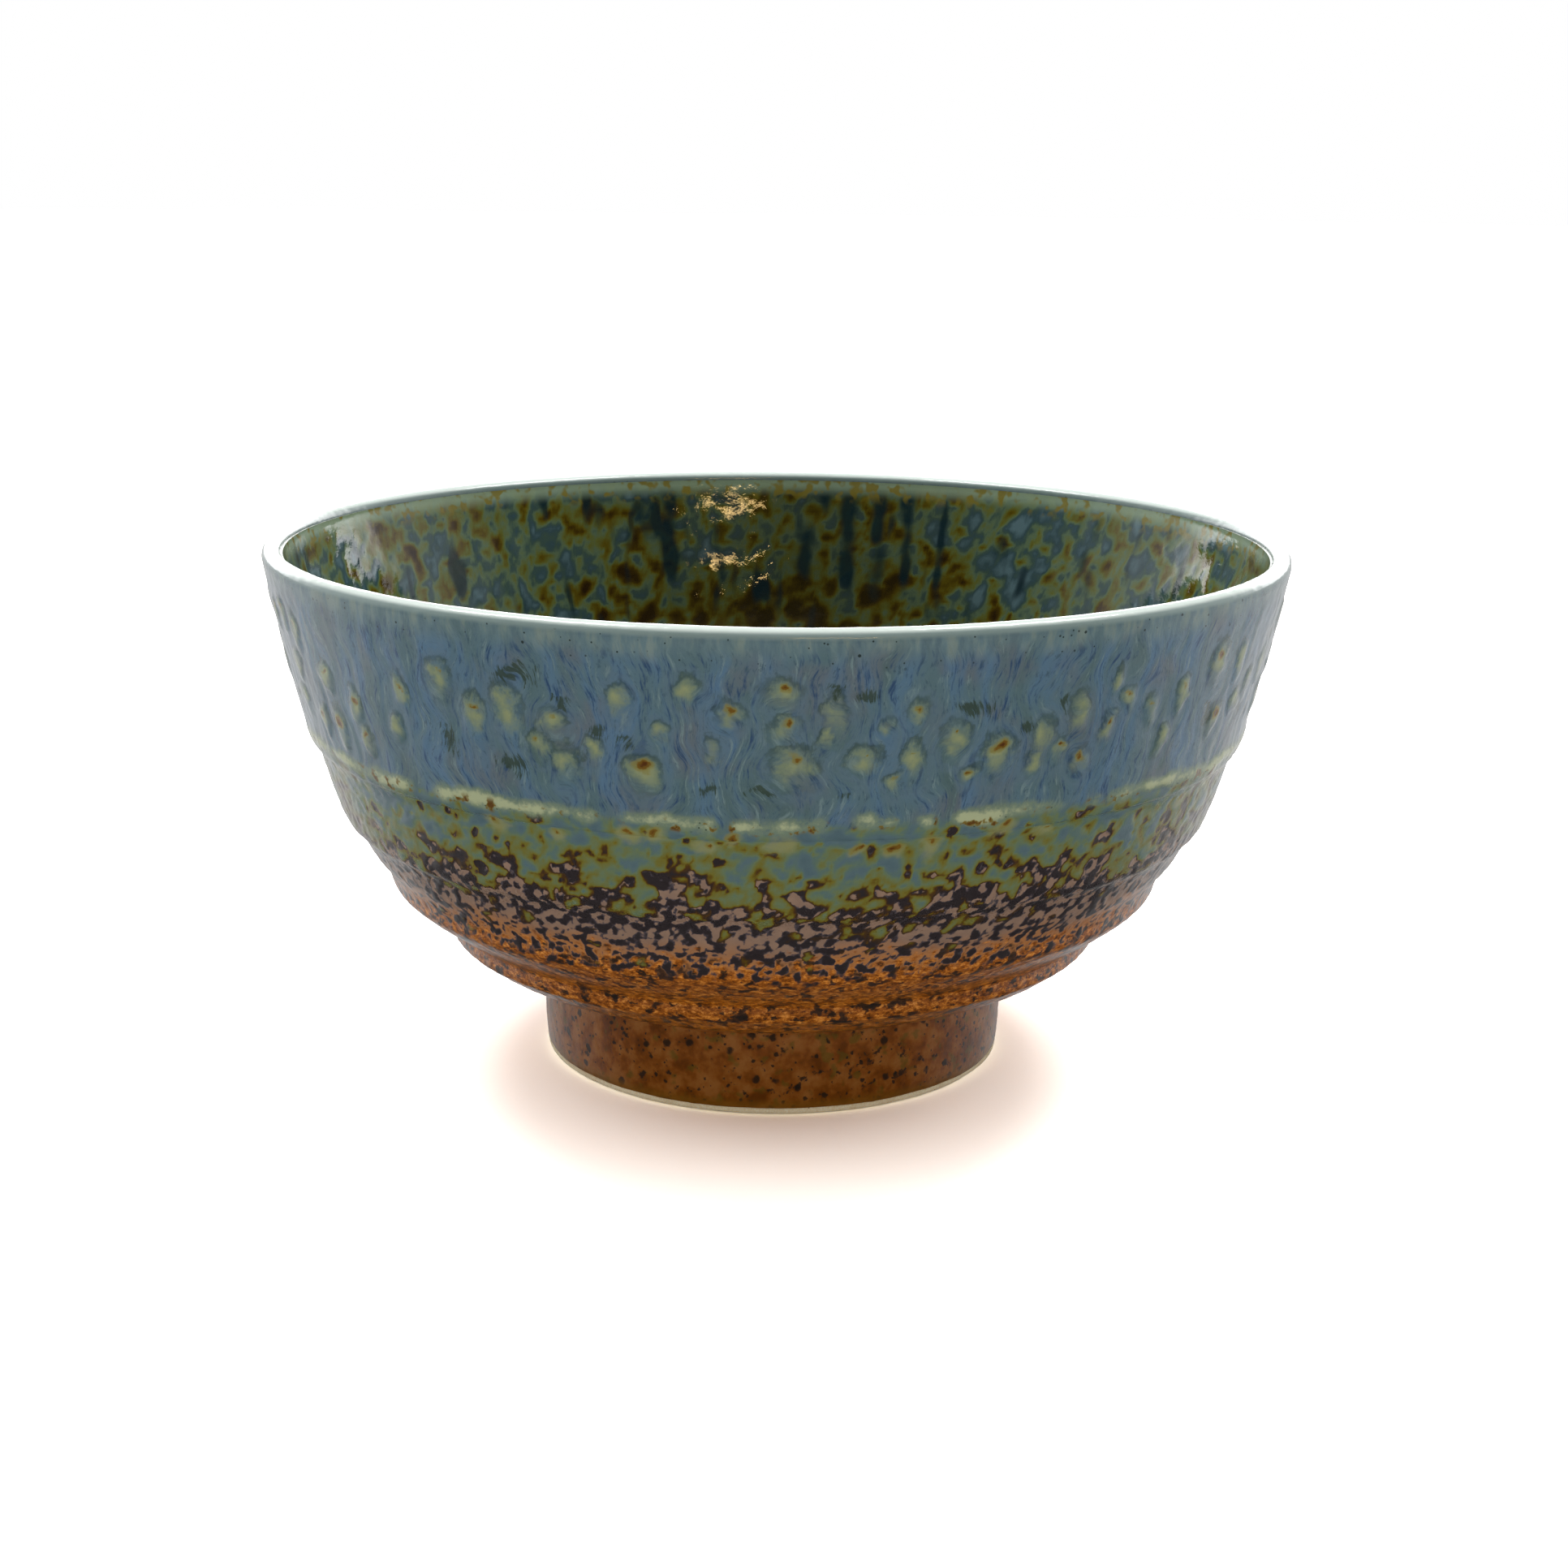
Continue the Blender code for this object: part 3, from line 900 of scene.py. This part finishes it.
def wall_glaze(name, coat=0.5):
    """The outside's glaze, from the pale lip with a painted highlight on its top, down through blue,
    olive and mauve to amber and brown.
    """
    made, s = new_material(name)
    point = s.point()
    height = s.height(point)
    fine = s.noise(point, 0.5, 3)
    base, runs, threads = blue_band(s, point, fine)

    lip = s.step(s.shift(height, runs, 2.5), LIP_ZONE - 1.4, LIP_ZONE + 1.2)
    streaks = s.noise(s.stretched(point, (1, 1, 0.22)), 1.3, 3)
    veil = ((0.38, colour(86, 108, 114)), (0.5, colour(98, 120, 122)), (0.64, colour(118, 134, 126)))
    veil = s.ramp(streaks, veil)
    base = s.mix(base, veil, s.times(lip, 0.8))
    base = s.mix(base, colour(122, 140, 138), s.step(height, 63.7, 64.3))
    # Painted highlight: a near-white strip along the top of the lip, where the crest catches the
    # overhead light.
    base = s.mix(base, colour(200, 212, 206), s.step(height, 64.35, 64.8))
    pinholes = s.math("MAXIMUM", s.dots(point, 0.8, 0.13, 0.45), s.dots(point, 1.6, 0.22, 0.4))
    pinholes = s.times(pinholes, s.times(s.step(height, 59.5, 62.0), s.step(height, 64.2, 63.8)))
    base = s.mix(base, colour(30, 40, 38), s.times(pinholes, 0.9))

    lower = lower_wall(s, point, height, fine)
    brown = brown_coat(s, point, height, fine)
    lower = s.mix(lower, brown, s.step(height, FOOT_JOINT + 0.2, FOOT_JOINT - 0.6))
    joint = s.math("ABSOLUTE", s.add(height, -FOOT_JOINT))
    lower = s.mix(lower, colour(146, 76, 0), s.times(s.step(joint, 1.3, 0.1), 0.85))
    band = s.step(s.shift(height, threads, 1.0), LINE_HEIGHT - 0.9, LINE_HEIGHT + 0.3)
    base = s.mix(lower, base, band)

    # Drops under the line, the line itself, and the ochre cores of all beads and drops.
    under = s.times(s.step(height, LINE_HEIGHT, LINE_HEIGHT - 0.6), s.step(height, 37.0, 38.5))
    drop = s.times(s.step(s.shift(s.field("bead"), fine, 0.25), -0.35, 0.6), under)
    base = s.mix(base, colour(128, 130, 88), s.times(drop, 0.85))
    ridge = s.field("line")
    ragged = s.shift(0.0, s.noise(point, 0.8, 4, 0.65), 0.6)
    line = s.add(ridge, s.times(ragged, s.step(ridge, 0.02, 0.5)))
    base = s.mix(base, colour(108, 124, 104), s.times(s.step(line, 0.04, 0.4), 0.85))
    base = s.mix(base, colour(162, 170, 134), s.times(s.step(line, 0.35, 0.9), 0.9))
    under_line = s.times(s.step(height, LINE_HEIGHT + 0.7, LINE_HEIGHT - 0.3), s.step(ridge, 0.08, 0.3))
    flecks = s.noise(point, 1.4, 3)
    dots = s.dots(point, 0.7, 0.13, 0.4)
    for shown, where, share in (
        (colour(110, 90, 26), s.step(flecks, 0.57, 0.63), 0.9),
        (colour(84, 52, 14), s.step(flecks, 0.63, 0.67), 0.9),
        (colour(44, 56, 44), dots, 0.8),
    ):
        base = s.mix(base, shown, s.times(s.times(under_line, where), share))
    core = s.shift(s.field("core"), fine, 0.45)
    base = s.mix(base, colour(120, 112, 54), s.times(s.step(core, -1.0, -0.1), 0.8))
    base = s.mix(base, colour(104, 76, 20), s.step(core, -0.15, 0.25))
    base = s.mix(base, colour(76, 42, 10), s.step(core, 0.35, 0.75))

    roughness = s.add(s.times(s.step(height, LINE_HEIGHT, AMBER_TOP), 0.12), s.times(fine, 0.1))
    bump = s.add(s.times(fine, 0.6), s.times(threads, 0.4))
    return finish(made, base, s.add(roughness, 0.14), bump, 0.04, WALL_SPECULAR, coat)


def foot_glaze(name):
    return wall_glaze(name, coat=0.0)


def inside_glaze(name):
    """The inside: slate and teal over sage, olive and ochre, with dark runs, paler at the lip, and a
    painted highlight along the rim's top.
    """
    made, s = new_material(name)
    point = s.point()
    height = s.height(point)
    fine = s.noise(point, 0.7, 3)
    thick = s.shift(s.shift(s.field("thick"), fine, 0.12), s.noise(point, 1.8, 2), 0.15)
    base = s.ramp(
        thick,
        (
            (-0.9, colour(44, 26, 4)),
            (-0.62, colour(72, 54, 2)),
            (-0.42, colour(98, 86, 12)),
            (-0.2, colour(104, 112, 54)),
            (0.0, colour(96, 118, 92)),
            (0.16, colour(66, 90, 82)),
            (0.36, colour(58, 84, 92)),
            (0.75, colour(92, 120, 130)),
        ),
    )
    base = s.mix(base, colour(50, 48, 4), s.times(s.field("dark"), 0.45))
    base = s.mix(base, colour(10, 38, 46), s.times(s.step(s.field("runs"), 0.08, 0.5), 0.9))
    lip = s.step(height, 61.5, 63.6)
    base = s.mix(base, colour(150, 172, 146), s.times(lip, 0.85))
    ochre = s.step(s.shift(s.noise(point, 1.5, 1), s.noise(point, 6.0, 1), 0.2), 0.52, 0.66)
    rust = s.step(height, 60.5, 62.5)
    base = s.mix(base, colour(132, 118, 36), s.times(s.times(ochre, rust), 0.85))
    base = s.mix(base, colour(158, 160, 140), s.times(s.step(height, 64.2, 64.6), 0.8))
    # Painted highlight: a near-white strip along the top of the rim, as on the outside.
    base = s.mix(base, colour(190, 202, 196), s.step(height, 64.6, 64.85))
    roughness = s.add(0.03, s.times(fine, 0.03))
    return finish(made, base, roughness, fine, 0.02, coat=0.3)


def well_glaze(name):
    made, s = new_material(name)
    point = s.point()
    fine = s.noise(point, 0.5, 3)
    base = brown_coat(s, point, s.height(point), fine)
    return finish(made, base, s.add(0.25, s.times(fine, 0.1)), fine, 0.04)


def bare_clay(name):
    """Fired clay with no glaze: cream, matte and finely gritty."""
    made, s = new_material(name)
    point = s.point()
    grit = s.noise(point, 0.22, 4, 0.7)
    base = s.mix(colour(255, 246, 218), colour(244, 226, 186), s.step(grit, 0.35, 0.65))
    base = s.mix(base, colour(220, 192, 148), s.times(s.step(s.noise(point, 3.0, 3), 0.5, 0.7), 0.4))
    base = s.mix(base, colour(96, 74, 52), s.times(s.dots(point, 1.1, 0.12, 0.2), 0.8))
    return finish(made, base, s.add(0.72, s.times(grit, 0.2)), grit, 0.05)


# ------------------------------------------------------------------------------- the object


def make_pieces():
    """Every piece that shows, on the outline of the CAD node that it stands for."""
    foot_ring = section("foot_ring")[0]
    clay = np.concatenate([section("clay_bowl")[0], foot_ring])
    foot, iron, blue, inside = (
        free_side(node, clay) for node in ("foot_glaze", "iron_glaze", "blue_glaze", "inside_glaze")
    )
    surface = Outline(rounded(np.concatenate([foot, iron, blue, inside])))
    well_side = free_side("foot_well_glaze", clay)
    well_floor = [(radius, well_side[0][1]) for radius in np.arange(0, well_side[0][0] - 1.5, 2.0)]
    well = Outline(rounded(np.concatenate([well_floor, well_side])))
    foot_end = surface.nearest((foot[-1] + iron[0]) / 2)
    iron_end = surface.nearest((iron[-1] + blue[0]) / 2)
    blue_end = surface.nearest((blue[-1] + inside[0]) / 2)
    reach = foot[0][1] - BARE_TOP - 0.02
    raised = foot_ring + (foot_ring[:, 1:] == BARE_TOP) * (0, CLAY_OVERLAP)

    # The coats: node, piece, where the piece starts and ends, and how far apart its rings lie.
    coats = (
        ("foot_glaze", "foot_coat", surface, (-reach, foot_end, 0.36), wall_fields, foot_glaze),
        ("iron_glaze", "iron_coat", surface, (foot_end, iron_end, 0.48), wall_fields, wall_glaze),
        ("blue_glaze", "blue_coat", surface, (iron_end, blue_end, 0.33), wall_fields, wall_glaze),
        (
            "inside_glaze",
            "inside_coat",
            surface,
            (blue_end, surface.length, 0.76),
            inside_fields,
            inside_glaze,
        ),
        ("foot_well_glaze", "well_coat", well, (0, well.length + reach, 0.6), well_fields, well_glaze),
    )
    clay_finish = bare_clay("clay")
    for node, name, outline, stretch, make_fields, make_glaze in coats:
        piece = coat_piece(name, outline, *stretch, make_fields)
        piece.data.materials.append(make_glaze(node))
        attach(piece, "root")
        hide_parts(node)

    ring = foot_ring_piece("bare_foot", Outline(np.concatenate([raised, raised[:1]])))
    ring.data.materials.append(clay_finish)
    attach(ring, "root")
    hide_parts("foot_ring")
    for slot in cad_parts["clay_bowl"].material_slots:
        slot.material = clay_finish


def make_stage():
    """A pale floor that runs out past the view, and shows overexposed except in shade."""
    mesh = bpy.data.meshes.new("floor")
    angles = np.linspace(0, 2 * math.pi, 64, endpoint=False)
    rim = [(FLOOR_RADIUS * math.cos(a), FLOOR_RADIUS * math.sin(a), FLOOR_LEVEL) for a in angles]
    mesh.from_pydata(rim, [], [tuple(range(len(rim)))])
    floor = bpy.data.objects.new("floor", mesh)
    bpy.context.collection.objects.link(floor)
    made, s = new_material("floor")
    surface = made.node_tree.nodes["Principled BSDF"].inputs
    surface["Specular IOR Level"].default_value = 0.0
    surface["Roughness"].default_value = 0.9
    seen = s.node("ShaderNodeLightPath", output="Is Camera Ray")
    s.put(surface["Base Color"], s.mix(FLOOR_COLOUR, FLOOR_SHOWN, seen))
    mesh.materials.append(made)
    floor.visible_glossy = False


def add_light(name, place, size, power, tint=(1, 1, 1), mirrored=True):
    """A soft box that faces the bowl. The glaze shows its reflection only if it is mirrored."""
    lamp = bpy.data.lights.new(name, "AREA")
    lamp.shape = "RECTANGLE"
    lamp.size, lamp.size_y = size
    lamp.energy = power
    lamp.color = tint
    held = bpy.data.objects.new(name, lamp)
    held.location = place
    held.rotation_euler = (Vector((0, 0, 0.04)) - held.location).to_track_quat("-Z", "Y").to_euler()
    held.visible_glossy = mirrored
    bpy.context.collection.objects.link(held)


def make_studio():
    """A white room that is bright behind and overhead and dark in front. A low fill in front, a box
    on each side and a ceiling light it evenly, and the glaze mirrors two soft boxes overhead, a
    bright backdrop and a narrow warm lamp in front."""
    world = bpy.data.worlds.new("studio")
    bpy.context.scene.world = world
    world.use_nodes = True
    s = Nodes(world.node_tree)
    way = s.node("ShaderNodeTexCoord", output="Generated")
    split = s.node("ShaderNodeSeparateXYZ", {0: way}).node.outputs
    paths = s.node("ShaderNodeLightPath").node.outputs
    room = s.times(s.step(split[1], -0.35, 0.35), s.step(split[2], -0.75, -0.3))
    level = s.times(s.step(split[2], 0.0, 0.1), s.step(split[2], 0.5, 0.3))
    backdrop = s.times(s.step(split[1], 0.4, 0.85), level)
    glare = s.times(s.times(backdrop, paths["Is Glossy Ray"]), 3.0)
    overhead = s.times(s.step(split[2], 0.45, 0.95), 0.6)
    light = s.add(s.add(s.times(room, 0.65), s.add(glare, overhead)), 0.03)
    background = world.node_tree.nodes["Background"].inputs
    background["Color"].default_value = (1, 1, 1, 1)
    s.put(background["Strength"], s.math("MAXIMUM", light, paths["Is Camera Ray"]))

    add_light("fill", (-0.2, -1.5, 0.17), (1.7, 0.32), 6.3, mirrored=False)
    add_light("side_left", (-1.2, 0.35, 0.6), (0.8, 0.8), 2.4, mirrored=False)
    add_light("side_right", (1.2, 0.35, 0.6), (0.8, 0.8), 2.0, mirrored=False)
    add_light("ceiling", (0.0, 0.4, 1.2), (1.8, 1.0), 9.0, mirrored=False)
    add_light("box_left", (-0.45, 0.25, 1.0), (0.22, 0.45), 3.0)
    add_light("box_right", (0.45, 0.25, 1.0), (0.22, 0.45), 3.0)
    add_light("lamp", (0.21, -0.93, 0.43), (0.30, 0.010), 0.42, (1.0, 0.66, 0.26))
    bpy.context.scene.view_settings.view_transform = "Standard"


def make_camera():
    """At the front, a little above the rim, looking slightly down."""
    data = bpy.data.cameras.new("camera")
    data.lens = FOCAL_LENGTH
    data.sensor_width = 36.0
    data.clip_start, data.clip_end = 0.01, 20.0
    camera = bpy.data.objects.new("camera", data)
    tilt = Matrix.Rotation(math.radians(90 - CAMERA_TILT), 4, "X")
    roll = Matrix.Rotation(math.radians(CAMERA_ROLL), 4, "Z")
    camera.matrix_world = Matrix.Translation(CAMERA_PLACE) @ tilt @ roll
    bpy.context.collection.objects.link(camera)
    bpy.context.scene.camera = camera


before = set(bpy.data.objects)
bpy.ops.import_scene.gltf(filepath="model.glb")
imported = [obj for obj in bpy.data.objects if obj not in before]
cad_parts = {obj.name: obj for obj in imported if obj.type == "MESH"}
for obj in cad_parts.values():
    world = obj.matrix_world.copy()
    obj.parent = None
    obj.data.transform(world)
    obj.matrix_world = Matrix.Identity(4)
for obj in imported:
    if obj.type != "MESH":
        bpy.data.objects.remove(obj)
cad_low, cad_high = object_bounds()
BOX_RADIUS = cad_high.x / MM
BOX_TOP = cad_high.z / MM
NOISE = [Noise(seed) for seed in range(24)]

make_camera()
make_pieces()
make_studio()
make_stage()
